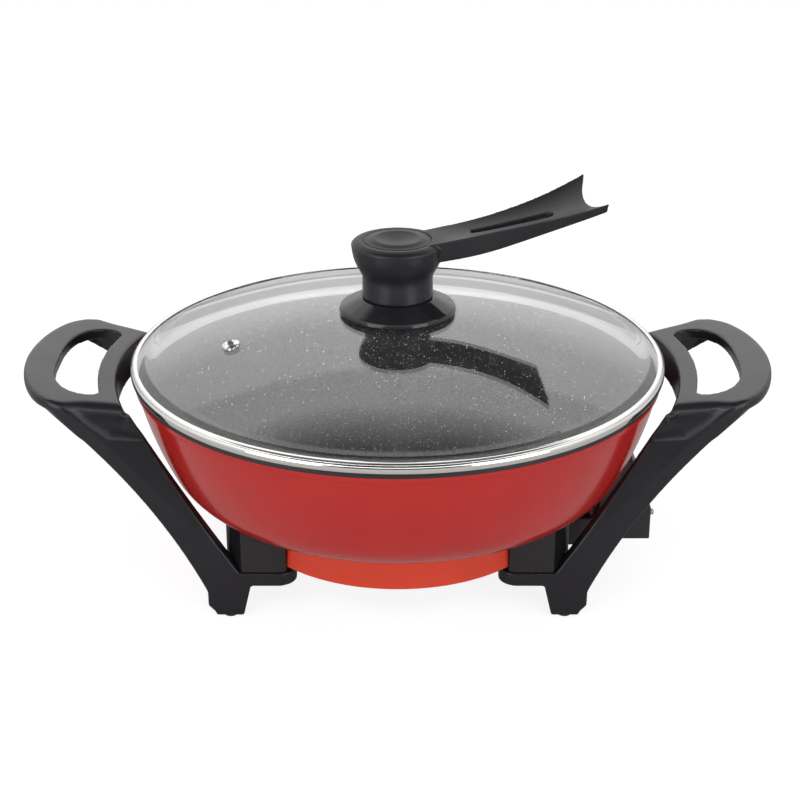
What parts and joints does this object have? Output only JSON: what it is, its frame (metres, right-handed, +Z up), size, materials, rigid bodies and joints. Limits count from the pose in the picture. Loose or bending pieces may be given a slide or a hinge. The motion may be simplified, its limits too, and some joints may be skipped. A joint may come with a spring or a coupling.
{
  "type": "electric wok",
  "caption": "Electric wok: coated pan on a heated base, lift-off domed glass lid with a forked grip knob, loop handles that run down into legs, and a side socket for a supply cord.",
  "frame": {"origin": "on the table, in the middle of the part's footprint, under the centre of the bowl", "axes": "+X towards the handle with the cord socket, +Y away from the side that the knob's near tip is on, +Z up"},
  "size_m": [0.475, 0.34, 0.256],
  "materials": {
    "bowl": "metallic red enamel outside, dark speckled coating inside",
    "skirt_ring": "satin metallic red",
    "cast_metal": "as cast",
    "element_tube": "satin",
    "base_cover": "satin",
    "screws": "zinc plated",
    "terminal_pins": "nickel plated",
    "beads": "matt",
    "probe_sleeve": "satin",
    "housing_plastic": "satin",
    "earth_contact": "bright",
    "handle_plastic": "satin",
    "pads": "matt",
    "glass": "clear",
    "lid_band": "polished",
    "steam_vent": "satin",
    "knob_plastic": "satin",
    "cap_plastic": "gloss",
    "insert_brass": "bright",
    "gaskets": "matt"
  },
  "bodies": {
    "base": {"bowl": "bowl", "skirt_ring": "skirt_ring", "heater_plate": "cast_metal", "heating_element": "element_tube", "base_cover": "base_cover", "base_cover_screws": "screws", "terminal_pins": "terminal_pins", "terminal_beads": "beads", "probe_sleeve": "probe_sleeve", "socket_housing": "housing_plastic", "socket_bosses": "cast_metal", "socket_screws": "screws", "earth_contact": "earth_contact", "handle_frame_left": "handle_plastic", "handle_frame_right": "handle_plastic", "riser_front_left": "handle_plastic", "riser_rear_left": "handle_plastic", "riser_front_right": "handle_plastic", "riser_rear_right": "handle_plastic", "mounting_studs": "cast_metal", "frame_screws": "screws", "foot_pads": "pads"},
    "lid": {"lid_glass": "glass", "lid_band": "lid_band", "steam_vent": "steam_vent", "knob_flange": "knob_plastic", "lid_handle": "knob_plastic", "knob_cap": "cap_plastic", "knob_insert": "insert_brass", "knob_screw": "screws", "knob_washer": "screws", "knob_gaskets": "gaskets"}
  },
  "joints": [
    {"name": "lid_lift", "type": "slide", "parent": "base", "child": "lid", "axis": [0, 0, 1], "range_m": [0, 0.12]}
  ]
}
